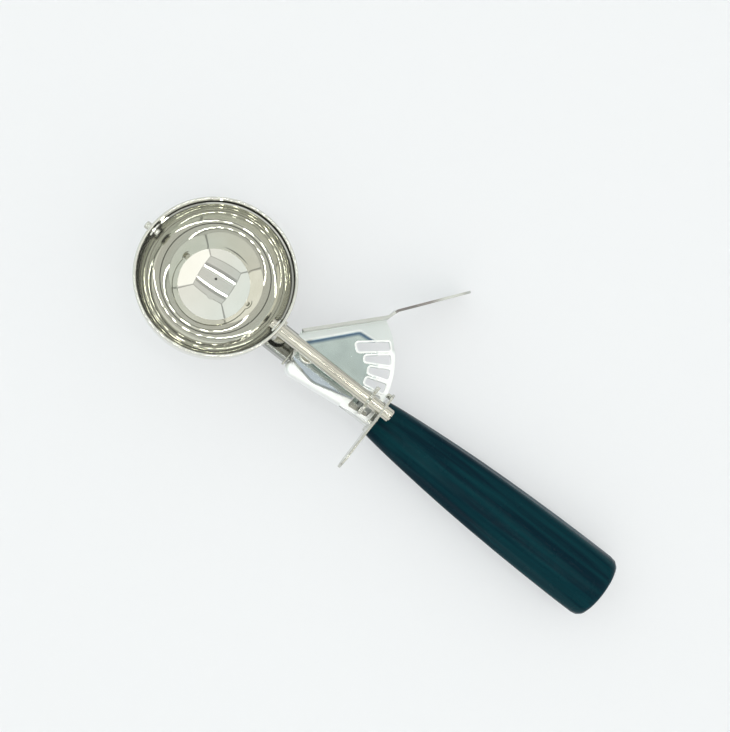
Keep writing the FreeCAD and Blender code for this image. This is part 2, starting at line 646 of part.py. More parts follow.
def add_flange_and_tab(body, pivot):
    """Flange along the upper edge, which twists into the flat thumb tab."""
    foot, way = edge_frame(size("upper_edge_offset"), size("upper_edge_angle"), 1)
    outward = Vector(foot).normalize()
    thickness = size("lever_thickness")
    inside = foot - outward * thickness
    start = -size("flange_setback")
    reach = size("flange_reach")
    corners = [foot + way * start, foot + way * reach, inside + way * reach, inside + way * start]
    flange = add_sketch(body, "lever_flange", "XY_Plane", PLATE_BOTTOM, lines(corners + corners[:1]))
    flange.setExpression("AttachmentOffset.Base.x", PIVOT)
    add_pad(body, flange, "sizes.lever_thickness + sizes.flange_height")

    half_height = (thickness + size("flange_height")) / 2
    level = UP * (size(PLATE_BOTTOM) + half_height)
    neck_start = add_sketch(body, "neck_start", "XY_Plane", edges=rectangle(thickness / 2, half_height))
    neck_start.AttachmentOffset = facing(pivot + (foot + inside) / 2 + way * reach + level, outward, UP)

    tab_way = polar(1, size("tab_angle"))
    tab_up = Rotation(tab_way, size("tab_lean")).multVec(UP)
    tab_side = polar(size("tab_offset"), size("tab_angle") + 90)
    root = pivot + tab_side + tab_way * size("tab_start") - UP * size(PITCH_RADIUS)
    half_neck = size("tab_neck_width") / 2
    neck_end = add_sketch(body, "neck_end", "XY_Plane", edges=rectangle(size("tab_thickness") / 2, half_neck))
    neck_end.AttachmentOffset = facing(root, tab_up.cross(tab_way), tab_up)
    neck = body.newObject("PartDesign::AdditiveLoft", "lever_neck")
    neck.Profile = neck_start
    neck.Sections = [neck_end]
    neck.Ruled = True

    length = size("tab_reach") - size("tab_start")
    shoulder = size("tab_shoulder")
    half_tab = size("tab_width") / 2
    corners = [Vector(0, half_neck, 0), Vector(shoulder, half_tab, 0), Vector(length, half_tab, 0),
               Vector(length, -half_tab, 0), Vector(shoulder, -half_tab, 0), Vector(0, -half_neck, 0)]
    rounding = size("tab_rounding")
    tab = add_sketch(body, "lever_tab", "XY_Plane", edges=rounded_outline(
        corners, [0, rounding, rounding, rounding, rounding, 0]))
    tab.AttachmentOffset = facing(root, tab_way, tab_up)
    add_pad(body, tab, "sizes.tab_thickness", both_ways=True)


def make_thumb_lever():
    """One stamping: slotted fan that drives the pinion, flange, rolled edge and thumb tab."""
    body = add_body("thumb_lever")
    pivot = Vector(size(PIVOT), 0, 0)
    fan = add_sketch(body, "lever_fan", "XY_Plane", PLATE_BOTTOM, lever_outline())
    fan.setExpression("AttachmentOffset.Base.x", PIVOT)
    add_pad(body, fan, "sizes.lever_thickness")
    add_rolled_edge(body, pivot)
    add_flange_and_tab(body, pivot)
    lips = add_sketch(body, "lever_lips", "XY_Plane", PLATE_TOP, slot_outlines(size("lip_width")))
    lips.setExpression("AttachmentOffset.Base.x", PIVOT)
    add_pad(body, lips, "sizes.lip_height")
    slots = add_sketch(body, "lever_slots", "XY_Plane", PLATE_BOTTOM, slot_outlines())
    slots.setExpression("AttachmentOffset.Base.x", PIVOT)
    add_pocket(body, slots, forward=True)
    hole = add_sketch(body, "lever_hole", "XY_Plane", PLATE_BOTTOM)
    hole.setExpression("AttachmentOffset.Base.x", PIVOT)
    add_circle(hole, POST_HOLE)
    add_pocket(body, hole, forward=True)
    return body


def make_shank():
    """Channel from the bowl to the guard, with a foot on the bowl and a tang for the handle."""
    half = size("shank_width") / 2
    thickness = size("shank_thickness")
    top = size(SHANK_TOP)
    under = size(SHANK_UNDER)
    lip = under - size("shank_lip")
    corners = [
        Vector(-half, top, 0), Vector(half, top, 0), Vector(half, lip, 0), Vector(half - thickness, lip, 0),
        Vector(half - thickness, under, 0), Vector(thickness - half, under, 0),
        Vector(thickness - half, lip, 0), Vector(-half, lip, 0),
    ]
    channel = add_body("shank_channel")
    section = add_sketch(channel, "shank_section", "YZ_Plane", CUT_START,
                         rounded_outline(corners, [size("shank_rounding")] * 2 + [0] * 6))
    add_pad(channel, section, f"{GUARD_FRONT} - {CUT_START}")
    shell = add_sphere("foot_shell", BOWL_OUTER + " + sizes.foot_thickness")
    block = add_box("foot_block", ("0", "-sizes.shank_width / 2", "-sizes.foot_drop"),
                    (BOWL_OUTER + " * 2", "sizes.shank_width / 2", SHANK_TOP))
    tang_low = (GUARD_FRONT + " - sizes.tang_root", "-sizes.tang_width / 2",
                SHANK_UNDER + " - sizes.tang_height")
    tang_high = (HANDLE_FRONT + " + sizes.tang_length", "sizes.tang_width / 2", SHANK_UNDER)
    tang = add_box("shank_tang", tang_low, tang_high)
    blank = fuse("shank_blank", [channel, common("shank_foot", [shell, block]), tang])
    hole = add_cylinder("shank_hole", POST_HOLE, "sizes.shank_thickness",
                        base=(PIVOT, "0", SHANK_UNDER))
    shank = cut("shank_solid", blank, fuse("shank_cuts", [add_sphere("shank_bowl", BOWL_OUTER), hole]))
    shank.Label = "shank"
    return shank


def make_bearing_bracket():
    """Cradle of the rod on the bowl, with a tongue that points along the shank."""
    half = size("bracket_width") / 2
    start = size(CUT_START)
    end = size(BOWL_OUTER) + size("tongue_length")
    corners = [Vector(start, half, 0), Vector(start, -half, 0), Vector(end, -half, 0), Vector(end, half, 0)]
    tongue = add_body("bracket_tongue")
    under = "-sizes.tongue_drop - sizes.bracket_thickness"
    plan = add_sketch(tongue, "tongue_plan", "XY_Plane", under, rounded_outline(corners, [0, 0, half, half]))
    add_pad(tongue, plan, "sizes.bracket_thickness")
    shell = add_sphere("bracket_shell", BOWL_OUTER + " + sizes.bracket_thickness")
    block = add_box("bracket_block", ("0", "-sizes.bracket_width / 2", under),
                    (BOWL_OUTER + " * 2", "sizes.bracket_width / 2", "sizes.bracket_rise"))
    blank = fuse("bracket_blank", [tongue, common("bracket_foot", [shell, block])])
    rod = add_cylinder("bracket_hole", ROD_HOLE, BOWL_OUTER + " * 2", TO_X)
    bracket = cut("bracket_solid", blank, fuse("bracket_cuts", [add_sphere("bracket_bowl", BOWL_OUTER), rod]))
    bracket.Label = "bearing_bracket"
    return bracket


def cut_tang_hole(body, name, place=None, length=None):
    """Rectangular hole for the tang, with a running clearance all round."""
    half_width = size("tang_width") / 2 + size("running_clearance")
    half_height = size("tang_height") / 2 + size("running_clearance")
    hole = add_sketch(body, name, "YZ_Plane", place, rectangle(half_width, half_height))
    hole.setExpression("AttachmentOffset.Base.y", SHANK_UNDER + " - sizes.tang_height / 2")
    add_pocket(body, hole, forward=True, length=length)


def make_guard_plate():
    """Flat guard across the tool with a long finger rest, two ears and holes for rod and tang."""
    body = add_body("guard_plate")
    half = size("guard_width") / 2
    rise = size("guard_rise")
    drop = -size("guard_drop")
    reach = -size("finger_reach")
    finger_low = rise - size("finger_width")
    rounding = size("guard_rounding")
    corners = [Vector(half, rise, 0), Vector(reach, rise, 0), Vector(reach, finger_low, 0),
               Vector(-half, finger_low, 0), Vector(-half, drop, 0), Vector(half, drop, 0)]
    radii = [rounding, size("finger_width") / 2, size("finger_width") / 2, rounding, half, half]
    plate = add_sketch(body, "guard_outline", "YZ_Plane", GUARD_FRONT, rounded_outline(corners, radii))
    add_pad(body, plate, "sizes.guard_thickness")
    for name, side in (("left", -1), ("right", 1)):
        ear = add_sketch(body, name + "_ear", "YZ_Plane", GUARD_FRONT + " - sizes.ear_length",
                         rectangle(size("ear_thickness") / 2, size("ear_width") / 2))
        ear.setExpression("AttachmentOffset.Base.x",
                          f"{side} * (sizes.ear_spread + sizes.ear_thickness) / 2")
        ear.setExpression("AttachmentOffset.Base.y", "-sizes.ear_width / 2")
        add_pad(body, ear, "sizes.ear_length")
    rod_hole = add_sketch(body, "guard_rod_hole", "YZ_Plane")
    add_circle(rod_hole, ROD_HOLE)
    add_pocket(body, rod_hole, forward=True)
    cut_tang_hole(body, "guard_tang_hole")
    return body


def make_ferrule():
    """Oval collar between the guard and the handle."""
    body = add_body("ferrule")
    half = size("ferrule_width") / 2
    oval = add_sketch(body, "ferrule_oval", "YZ_Plane", GUARD_BACK, [
        Part.Ellipse(Vector(0, -size("handle_front_drop"), 0), half, half * size(FLATNESS))])
    add_pad(body, oval, "sizes.ferrule_length")
    cut_tang_hole(body, "ferrule_tang_hole")
    return body


def make_handle():
    """Oval handle that swells towards a rounded butt: turned round, then flattened and set lower."""
    turned = add_body("handle_turned")
    front = size(HANDLE_FRONT)
    back = front + size("handle_length")
    rounding = size("butt_rounding")
    length = size("handle_length")
    points = [Vector(front, size("handle_front_width") / 2, 0)]
    for name in ("neck", "waist", "belly", "heel"):
        place = front + size(f"handle_{name}_share") * length
        points.append(Vector(place, size(f"handle_{name}_width") / 2, 0))
    points.append(Vector(back - rounding, size("handle_butt_width") / 2, 0))
    side = Part.BSplineCurve()
    side.interpolate(points)
    butt = points[-1]
    edges = [side, arc(butt - ACROSS * rounding, rounding, 0, 90)]
    edges += lines([Vector(back, butt.y - rounding, 0), Vector(back, 0, 0), Vector(front, 0, 0), points[0]])
    add_turn(turned, add_sketch(turned, "handle_profile", "XY_Plane", edges=edges), "H_Axis")
    doc.recompute()

    slope = (size("handle_front_drop") - size("handle_butt_drop")) / size("handle_length")
    flatten = FreeCAD.Matrix()
    flatten.A33 = size(FLATNESS)
    flatten.A31 = slope
    flatten.A34 = -size("handle_front_drop") - slope * front
    oval = doc.addObject("Part::Feature", "handle_oval")
    oval.Shape = turned.Shape.transformGeometry(flatten)

    play = "sizes.running_clearance"
    hole_low = (GUARD_FRONT, f"-sizes.tang_width / 2 - {play}", f"{SHANK_UNDER} - sizes.tang_height - {play}")
    hole_high = (f"{HANDLE_FRONT} + sizes.tang_length + sizes.free_clearance",
                 f"sizes.tang_width / 2 + {play}", f"{SHANK_UNDER} + {play}")
    hole = add_box("handle_tang_hole", hole_low, hole_high)
    handle = cut("handle_solid", oval, hole)
    handle.Label = "handle"
    return handle


def lowest(piece, upward):
    """Level of a piece's lowest point when this direction points up."""
    turned = piece.Shape.copy()
    turned.Placement = Placement(Vector(0, 0, 0), Rotation(upward, UP)).multiply(turned.Placement)
    return turned.optimalBoundingBox(False).ZMin


def upward_at_rest(lever, handle):
    """Direction that points up when bowl, thumb tab and butt all touch the table."""
    table = -size(BOWL_OUTER)
    butt_arm = size(HANDLE_FRONT) + size("handle_length")
    tab_arm = size("tab_reach") * math.sin(math.radians(size("tab_angle")))
    pitch, roll = 0.0, 0.0
    for step in range(LEVELLING_STEPS):
        upward = Vector(pitch, roll, math.sqrt(1 - pitch ** 2 - roll ** 2))
        pitch += (table - lowest(handle, upward)) / butt_arm
        roll += (table - lowest(lever, upward)) / tab_arm
    return upward


lever = make_thumb_lever()
handle = make_handle()
first_phase = size("first_slot_angle") % size("slot_pitch_angle")
gear_ratio = 360 / size("pinion_teeth") / size("slot_pitch_angle")
wire_level = size(SHANK_TOP) + size("wire_gap") + size("wire_radius")
here = Placement()
phased = Placement(Vector(0, 0, 0), Rotation(ALONG, first_phase * gear_ratio))
parked = Placement(Vector(0, 0, 0), Rotation(ALONG, size("blade_park_angle") - size("blade_angle") / 2))
coiled = Placement(Vector(size(PIVOT), 0, wire_level), Rotation(UP, 90))
PIECES = [
    (make_bowl(), here), (make_shank(), here), (make_bearing_bracket(), here), (make_guard_plate(), here),
    (make_ferrule(), here), (handle, here), (make_pivot_rivet(), here), (make_pivot_bush(), here),
    (make_return_spring(), coiled), (make_spring_peg(), here), (lever, here), (make_scraper_blade(), parked),
    (make_scraper_rod(), here), (make_star_pinion(), phased), (make_tip_pin(), here),
]
doc.recompute()

# Turn the tool from its own axes to the table, and put the origin under the middle of its box
upward = upward_at_rest(lever, handle)
sideways = upward.cross(ALONG).normalize()
turn = Rotation(sideways.cross(upward), sideways, upward, "XYZ").inverted()
for piece, own in PIECES:
    piece.Placement = Placement(Vector(0, 0, 0), turn).multiply(own)
doc.recompute()
extent = Part.makeCompound([piece.Shape for piece, own in PIECES]).optimalBoundingBox(False)
shift = Vector(-extent.Center.x, -extent.Center.y, -extent.ZMin)
rest = Placement(shift, turn)
for piece, own in PIECES:
    piece.Placement = rest.multiply(own)
doc.recompute()

failed = [item.Name for item in doc.Objects if "Invalid" in item.State or "Error" in item.State]
failed += [piece.Label for piece, own in PIECES if piece.Shape.isNull() or not piece.Shape.isValid()]
if failed:
    raise RuntimeError("not built: " + ", ".join(failed))

os.makedirs("parts", exist_ok=True)
for piece, own in PIECES:
    piece.Shape.exportStep("parts/" + piece.Label + ".step")
    print(piece.Label, len(piece.Shape.Solids), round(piece.Shape.Volume, 1))
print("box", extent.XLength, extent.YLength, extent.ZLength)
print("pivot", rest.multVec(Vector(size(PIVOT), 0, 0)), "axis", turn.multVec(UP * -1))
print("scraper", rest.multVec(Vector(0, 0, 0)), "axis", turn.multVec(ALONG * -1), "ratio", gear_ratio)
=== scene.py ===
# %% [markdown]
# A thumb-lever ice cream disher
#
# The real object is a round metal bowl on a strap, a glossy handle, and a slotted thumb lever that
# turns a star wheel. The wheel's rod sweeps a thin blade through the bowl, which pushes the ice cream
# out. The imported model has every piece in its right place, so this script never moves one. It gives
# each piece its finish, and models again the pieces whose form a plain solid can't show.

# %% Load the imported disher
import json
import math

import bmesh
import bpy
from mathutils import Matrix, Vector


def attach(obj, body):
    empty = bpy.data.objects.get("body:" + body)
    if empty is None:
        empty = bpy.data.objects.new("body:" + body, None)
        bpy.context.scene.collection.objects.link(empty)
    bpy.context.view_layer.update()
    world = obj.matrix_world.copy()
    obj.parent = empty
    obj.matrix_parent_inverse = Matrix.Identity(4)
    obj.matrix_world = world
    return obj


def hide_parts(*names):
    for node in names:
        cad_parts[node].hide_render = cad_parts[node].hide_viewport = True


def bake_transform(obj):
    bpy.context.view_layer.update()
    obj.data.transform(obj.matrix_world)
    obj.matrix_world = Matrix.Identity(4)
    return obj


MM = 0.001
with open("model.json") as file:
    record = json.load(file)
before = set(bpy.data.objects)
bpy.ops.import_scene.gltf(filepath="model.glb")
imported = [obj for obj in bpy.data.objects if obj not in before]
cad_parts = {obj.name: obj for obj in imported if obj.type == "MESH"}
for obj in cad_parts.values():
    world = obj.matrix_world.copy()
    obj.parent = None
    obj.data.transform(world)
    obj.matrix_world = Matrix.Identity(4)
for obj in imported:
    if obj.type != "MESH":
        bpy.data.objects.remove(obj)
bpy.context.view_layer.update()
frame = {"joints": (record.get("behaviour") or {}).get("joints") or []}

# %% [markdown]
# The disher lies a little tilted on the table, but its pieces are easier to think of along the tool
# itself: X runs along the rod to the handle, Y to the thumb tab's side, and Z out of the bowl's mouth.
# These directions could be typed in as angles, but then a change of the model would make them wrong.
# The two joints of the record give them instead: the scraper turns about X and the lever about Z.

# %% Axes of the tool
joints = {joint["name"]: joint for joint in frame["joints"]}
bowl_centre = Vector(joints["scraper_turn"]["pos_m"])
pivot = Vector(joints["lever_pivot"]["pos_m"])
tool_x = -Vector(joints["scraper_turn"]["axis"])
tool_z = -Vector(joints["lever_pivot"]["axis"])
tool_y = tool_z.cross(tool_x)
tool = Matrix.Translation(bowl_centre) @ Matrix((tool_x, tool_y, tool_z)).transposed().to_4x4()
PIVOT_REACH = round((pivot - bowl_centre).dot(tool_x) / MM, 2)
print("middle of the bowl in mm:", [round(v / MM, 2) for v in bowl_centre], "to the rivet:", PIVOT_REACH)

# %% [markdown]
# Each new piece starts as a primitive and is shaped as by hand: in edit mode, or by a modifier that is
# applied at once. A mesh could also be written down point by point, but then nobody could follow how it
# got its form. These helpers hold the steps that every piece repeats. A piece is modelled along the
# tool's axes, measured from the middle of the bowl, where sizes are easy to read. It is set down on the
# table at the end, and its place then goes into its mesh, so that patterns sit still on it.


# %% Helpers for the pieces
def start_piece(name):
    """Name the primitive that was just added and return it."""
    piece = bpy.context.object
    piece.name = name
    piece.data.name = name
    return piece


def pick(piece, wanted, kind="VERT"):
    """In edit mode, select only the points or edges for which wanted is true."""
    bpy.ops.mesh.select_mode(type=kind)
    bpy.ops.mesh.select_all(action="DESELECT")
    mesh = bmesh.from_edit_mesh(piece.data)
    for item in {"VERT": mesh.verts, "EDGE": mesh.edges}[kind]:
        if wanted(item):
            item.select = True
    mesh.select_flush_mode()
    bmesh.update_edit_mesh(piece.data)


def apply_modifier(piece, kind, **settings):
    """Add a modifier, set it and apply it."""
    modifier = piece.modifiers.new(kind.title(), kind)
    for name, value in settings.items():
        setattr(modifier, name, value)
    bpy.ops.object.modifier_apply(modifier=modifier.name)


def set_down(piece, smooth_angle):
    """Turn a finished piece from the tool's axes to the table, its place in its mesh."""
    bpy.ops.object.mode_set(mode="OBJECT")
    piece.matrix_world = tool @ piece.matrix_world
    bpy.ops.object.transform_apply(location=True, rotation=True, scale=True)
    bpy.ops.object.shade_smooth_by_angle(angle=math.radians(smooth_angle))


print("ready to model pieces")

# %% [markdown]
# A finish could be an image wrapped round the piece, but an image has seams and blurs when the camera
# comes near. These finishes are made of nodes that read Object coordinates, in metres, so a pattern
# has its real size and sits still on its piece. The helpers only add a node and join it up, which
# keeps each finish short to read.


# %% Helpers for the finishes
class Finish:
    """A material with its own small tree of nodes round one Principled shader."""

    def __init__(self, name):
        self.material = bpy.data.materials.new(name)
        self.material.use_nodes = True
        self.nodes = self.material.node_tree.nodes
        self.links = self.material.node_tree.links
        self.shader = self.nodes["Principled BSDF"]
        self.place = self.nodes.new("ShaderNodeTexCoord").outputs["Object"]

    def set(self, **values):
        """Set numbers and colours that are the same all over, on the shader itself."""
        for name, value in values.items():
            self.shader.inputs[name.replace("_", " ")].default_value = value

    def join(self, output, name):
        """Join a node's output to the shader."""
        self.links.new(output, self.shader.inputs[name])

    def add(self, kind, values=None, **settings):
        """Add a node, whose inputs are numbers or other nodes' outputs."""
        node = self.nodes.new("ShaderNode" + kind)
        for name, value in settings.items():
            setattr(node, name, value)
        for name, value in (values or {}).items():
            if isinstance(value, bpy.types.NodeSocket):
                self.links.new(value, node.inputs[name])
            else:
                node.inputs[name].default_value = value
        return node

    def math(self, operation, *values):
        """One step of arithmetic."""
        return self.add("Math", dict(enumerate(values)), operation=operation).outputs[0]

    def vector_math(self, operation, first, second):
        """One step of arithmetic on two vectors, whose result is a number."""
        return self.add("VectorMath", {0: first, 1: second}, operation=operation).outputs["Value"]

    def noise(self, scale, detail, stretch=None):
        """Cloudy noise, with this many waves in a metre, or stretched along the axes."""
        place = self.place
        if stretch:
            place = self.add("Mapping", {"Vector": place, "Scale": stretch}).outputs["Vector"]
        return self.add("TexNoise", {"Vector": place, "Scale": scale, "Detail": detail}).outputs["Fac"]

    def spread(self, value, low, high, start=0.3, end=0.7):
        """A value's range from start to end, spread between two other numbers."""
        return self.add("MapRange", {
            "Value": value, "From Min": start, "From Max": end, "To Min": low, "To Max": high,
        }).outputs["Result"]

    def mix(self, share, first, second):
        """Blend two colours, each of them three numbers or another node's output."""
        node = self.add("Mix", data_type="RGBA")
        self.links.new(share, node.inputs["Factor"])
        for name, colour in (("A", first), ("B", second)):
            socket = [item for item in node.inputs if item.name == name and item.type == "RGBA"][0]
            if isinstance(colour, bpy.types.NodeSocket):
                self.links.new(colour, socket)
            else:
                socket.default_value = (*colour, 1)
        return [item for item in node.outputs if item.type == "RGBA"][0]

    def bump(self, height, depth):
        """Raise the surface by a height from 0 to 1, times a depth in metres."""
        node = self.add("Bump", {"Height": height, "Distance": depth})
        self.join(node.outputs["Normal"], "Normal")


def dress(name, finish):
    """Give a piece this finish alone."""
    piece = bpy.data.objects[name]
    piece.data.materials.clear()
    piece.data.materials.append(finish.material)


print("ready to make finishes")

# %% [markdown]
# The metal parts are plated and polished steel. Plating is a little warm, and the more often light
# bounces in the bowl, the warmer and darker it gets, so the tint matters most there. Faint smudges
# change the tint and the gloss, and fine marks run along the tool from wiping it dry. They keep the
# metal from looking like a computer's perfect mirror. The pieces differ only in these few numbers, so
# one function makes them all.

# %% Polished metals
SMUDGE_SCALE = 90
WIPING_STRETCH = (600, 9000, 9000)


def polished(name, clean, smudged, gloss, haze, marks):
    """Plated steel from a clean tint and gloss to a smudged tint and haze, with marks in millimetres."""
    finish = Finish(name)
    finish.set(Metallic=0.95)
    smudge = finish.noise(SMUDGE_SCALE, 4)
    finish.colour = finish.mix(finish.spread(smudge, 0, 1), clean, smudged)
    finish.join(finish.colour, "Base Color")
    finish.join(finish.spread(smudge, gloss, haze), "Roughness")
    finish.bump(finish.noise(1.0, 2, WIPING_STRETCH), marks * MM)
    return finish


# The strap's one dark tint is painted shade, for the shade under the lever.
STRAP_PAINTED_SHADE = (0.34, 0.35, 0.33)
mirror_plate = polished("mirror_plate", (0.75, 0.75, 0.70), (0.71, 0.71, 0.65), 0.003, 0.008, 0.0001)
strap_plate = polished("strap_plate", STRAP_PAINTED_SHADE, STRAP_PAINTED_SHADE, 0.06, 0.16, 0.001)
rod_steel = polished("rod_steel", (0.64, 0.62, 0.54), (0.54, 0.52, 0.45), 0.07, 0.12, 0.0003)
small_steel = polished("small_steel", (0.66, 0.66, 0.60), (0.56, 0.56, 0.51), 0.12, 0.26, 0.002)
FINISHES = {
    "bowl": mirror_plate, "scraper_blade": mirror_plate, "shank": strap_plate,
    "scraper_rod": rod_steel, "bearing_bracket": small_steel,
    "ferrule": small_steel, "pivot_rivet": small_steel, "pivot_bush": small_steel,
    "spring_peg": small_steel, "tip_pin": small_steel,
}
for name, finish in FINISHES.items():
    dress(name, finish)
print("finishes on", len(FINISHES), "packed pieces")

# %% [markdown]
# A stamped sheet never has a knife-sharp edge: the press and the polishing wheel leave a small round,
# and that round is what glints. The lever, the guard and the star wheel could be modelled again, but
# their packed forms are right, so they are copied. The doubled points of a copy are merged and its
# flat triangles joined, and a narrow bevel then rounds each sharp edge. Weighted normals keep the flat
# faces looking flat beside it.

# %% Softened edges
SAME_POINT = 0.002
FLAT_ANGLE = 0.5
SHARP_ANGLE = 50
SMOOTH_ANGLE = 40


def soften(source, name, body, width):
    """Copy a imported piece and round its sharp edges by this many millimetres."""
    original = bpy.data.objects[source]
    piece = bpy.data.objects.new(name, original.data.copy())
    bpy.context.scene.collection.objects.link(piece)
    piece.matrix_world = original.matrix_world
    bpy.ops.object.select_all(action="DESELECT")
    piece.select_set(True)
    bpy.context.view_layer.objects.active = piece
    bpy.ops.object.transform_apply(location=True, rotation=True, scale=True)
    bpy.ops.mesh.customdata_custom_splitnormals_clear()
    bpy.ops.object.mode_set(mode="EDIT")
    bpy.ops.mesh.select_all(action="SELECT")
    bpy.ops.mesh.remove_doubles(threshold=SAME_POINT * MM)
    bpy.ops.mesh.dissolve_limited(angle_limit=math.radians(FLAT_ANGLE))
    bpy.ops.object.mode_set(mode="OBJECT")
    apply_modifier(piece, "BEVEL", width=width * MM, segments=2, limit_method="ANGLE",
                   angle_limit=math.radians(SHARP_ANGLE), use_clamp_overlap=False)
    bpy.ops.object.shade_smooth_by_angle(angle=math.radians(SMOOTH_ANGLE))
    apply_modifier(piece, "WEIGHTED_NORMAL", keep_sharp=True)
    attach(piece, body)
    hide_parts(source)
    print(name, "has", len(piece.data.vertices), "points")


soften("thumb_lever", "soft_lever", "lever", 0.07)
soften("guard_plate", "soft_guard", "frame", 0.15)
soften("star_pinion", "soft_star", "scraper", 0.12)
dress("soft_guard", small_steel)
dress("soft_star", small_steel)

# %% [markdown]
# The middle of the lever is a panel that the press pushes down to stiffen the sheet. Its outline is
# five straight lines and an arc. Each line is given as the way it faces, in degrees from the tool's X,
# and how far it lies from the rivet. The finish works out how far each point is beyond all of them,
# and that one distance is enough to draw the press mark, the painted highlight on the border and the
# painted dark reflection along the groove. An image of the panel would do it too, but it wouldn't
# follow the model when a size changes.

# %% Outline of the lever's panel
SHEET_TOP = -4.80
PANEL_LINES = [(139.4, 5.8), (95.7, 18.7), (286.0, 8.97), (259.3, 5.8), (180.0, 4.4)]
PANEL_REACH = 26.0
CORNER_ROUNDING = 1.0


def way_of(degrees):
    """The direction at this angle from the tool's X, in the plane of the sheet."""
    return tool_x * math.cos(math.radians(degrees)) + tool_y * math.sin(math.radians(degrees))


def distance_along(finish, way, start):
    """How far each point lies in a direction from the rivet, beyond a start, in millimetres."""
    dot = finish.vector_math("DOT_PRODUCT", finish.place, tuple(way))
    return finish.math("MULTIPLY_ADD", dot, 1 / MM, -pivot.dot(way) / MM - start)


def beyond_lines(finish, beyond, lines):
    """The largest of a distance and the distances beyond some lines, with rounded corners."""
    for degrees, start in lines:
        line = distance_along(finish, way_of(degrees), start)
        beyond = finish.math("SMOOTH_MAX", beyond, line, CORNER_ROUNDING)
    return beyond


lever_plate = Finish("lever_plate")
lever_plate.set(Metallic=1.0)
from_rivet = lever_plate.vector_math("DISTANCE", lever_plate.place, tuple(pivot))
beyond_arc = lever_plate.math("MULTIPLY_ADD", from_rivet, 1 / MM, -math.hypot(PANEL_REACH, SHEET_TOP))
outside_panel = beyond_lines(lever_plate, beyond_arc, PANEL_LINES)
level = distance_along(lever_plate, tool_z, SHEET_TOP)
print("lines of the panel:", len(PANEL_LINES))

# %% [markdown]
# The border is painted near white, a painted highlight of the polished sheet, while the panel keeps a
# softer, greyer look, a little bluer on the side of the rod away from the thumb tab. Two edges of the
# panel run beside the flange. There the painted highlight on the border is greyer, and a dark line of
# painted reflection runs where the sheet bends down into the panel. Each tint is laid over the ones
# before it, like thin coats of paint, so one can be changed alone.

# %% Tints of the panel and its border
PRESS_SLOPE = 0.9
PANEL_TINTS = ((0.55, 0.63, 0.60), (0.51, 0.59, 0.57))
LEAF_TINT = (0.57, 0.64, 0.70)
BORDER_PAINTED_HIGHLIGHT = (0.93, 0.95, 0.94)
FLANK_PAINTED_HIGHLIGHT = (0.66, 0.70, 0.69)
GROOVE_PAINTED_REFLECTION = (0.10, 0.17, 0.25)

border = lever_plate.spread(outside_panel, 0, 1, -PRESS_SLOPE, 0.0)
cloudy = lever_plate.spread(lever_plate.noise(70, 4), 0, 1)
below_rod = lever_plate.spread(distance_along(lever_plate, -tool_y, 1.0), 0, 1, 0, 3)
lever_tint = lever_plate.mix(cloudy, *PANEL_TINTS)
lever_tint = lever_plate.mix(below_rod, lever_tint, LEAF_TINT)
# Painted highlight: the border is painted near white.
lever_tint = lever_plate.mix(border, lever_tint, BORDER_PAINTED_HIGHLIGHT)

first_line, second_line = [
    distance_along(lever_plate, way_of(degrees), start) for degrees, start in PANEL_LINES[:2]]
bend = lever_plate.math("SMOOTH_MAX", first_line, second_line, CORNER_ROUNDING)
flank = lever_plate.spread(bend, 0, 1, -0.8, 0.4)
# Beside the flange the painted highlight on the border is greyer.
lever_tint = lever_plate.mix(flank, lever_tint, FLANK_PAINTED_HIGHLIGHT)
from_groove = lever_plate.math("ABSOLUTE", lever_plate.math("ADD", bend, 1.0))
# Painted dark reflection along the groove where the sheet bends into the panel.
groove = lever_plate.math("MULTIPLY", lever_plate.spread(from_groove, 1, 0, 0.2, 1.3),
                          lever_plate.math("SUBTRACT", 1.0, border))
lever_tint = lever_plate.mix(groove, lever_tint, GROOVE_PAINTED_REFLECTION)
print("lever finish nodes for the panel:", len(lever_plate.nodes))

# %% [markdown]
# The flange and the thumb tab stand up from the sheet. The upper edge of the tab near the fan is painted
# dark and brownish, a painted dark reflection. The lips of the slots are painted the brightest of all,
# a painted highlight. Height above the sheet, distance from the rivet and the
# way that a face looks tell these places apart, so nothing has to be cut off to get its own material.

# %% Flange, thumb tab and lips of the slots
LIP_BOTTOM = 0.05
LIP_TOP = 0.5
FLANGE_BOTTOM = 0.9
TAB_START = 36
PAINTED_REFLECTION_FADES = (48, 54)
FACES_UP = 0.6
FLANGE_TINT = (0.54, 0.55, 0.52)
TAB_EDGE_PAINTED_REFLECTION = (0.24, 0.22, 0.21)
LIP_PAINTED_HIGHLIGHT = (0.96, 0.97, 0.96)

flange = lever_plate.math("GREATER_THAN", level, FLANGE_BOTTOM)
lever_tint = lever_plate.mix(flange, lever_tint, FLANGE_TINT)
surface = lever_plate.add("NewGeometry").outputs["Normal"]
facing_up = lever_plate.math(
    "GREATER_THAN", lever_plate.vector_math("DOT_PRODUCT", surface, tuple(tool_z)), FACES_UP)
# Painted dark reflection on the upper edge of the thumb tab near the fan.
near_fan = lever_plate.spread(from_rivet, 1, 0, PAINTED_REFLECTION_FADES[0] * MM, PAINTED_REFLECTION_FADES[1] * MM)
on_tab = lever_plate.math("MULTIPLY", near_fan, lever_plate.math("GREATER_THAN", from_rivet, TAB_START * MM))
lever_tint = lever_plate.mix(lever_plate.math("MULTIPLY", on_tab, facing_up), lever_tint, TAB_EDGE_PAINTED_REFLECTION)
lip = lever_plate.math("MULTIPLY", lever_plate.math("GREATER_THAN", level, LIP_BOTTOM),
                       lever_plate.math("LESS_THAN", level, LIP_TOP))
# Painted highlight: the lips of the slots are painted the brightest.
lever_plate.join(lever_plate.mix(lip, lever_tint, LIP_PAINTED_HIGHLIGHT), "Base Color")
print("lever finish nodes with the flange:", len(lever_plate.nodes))

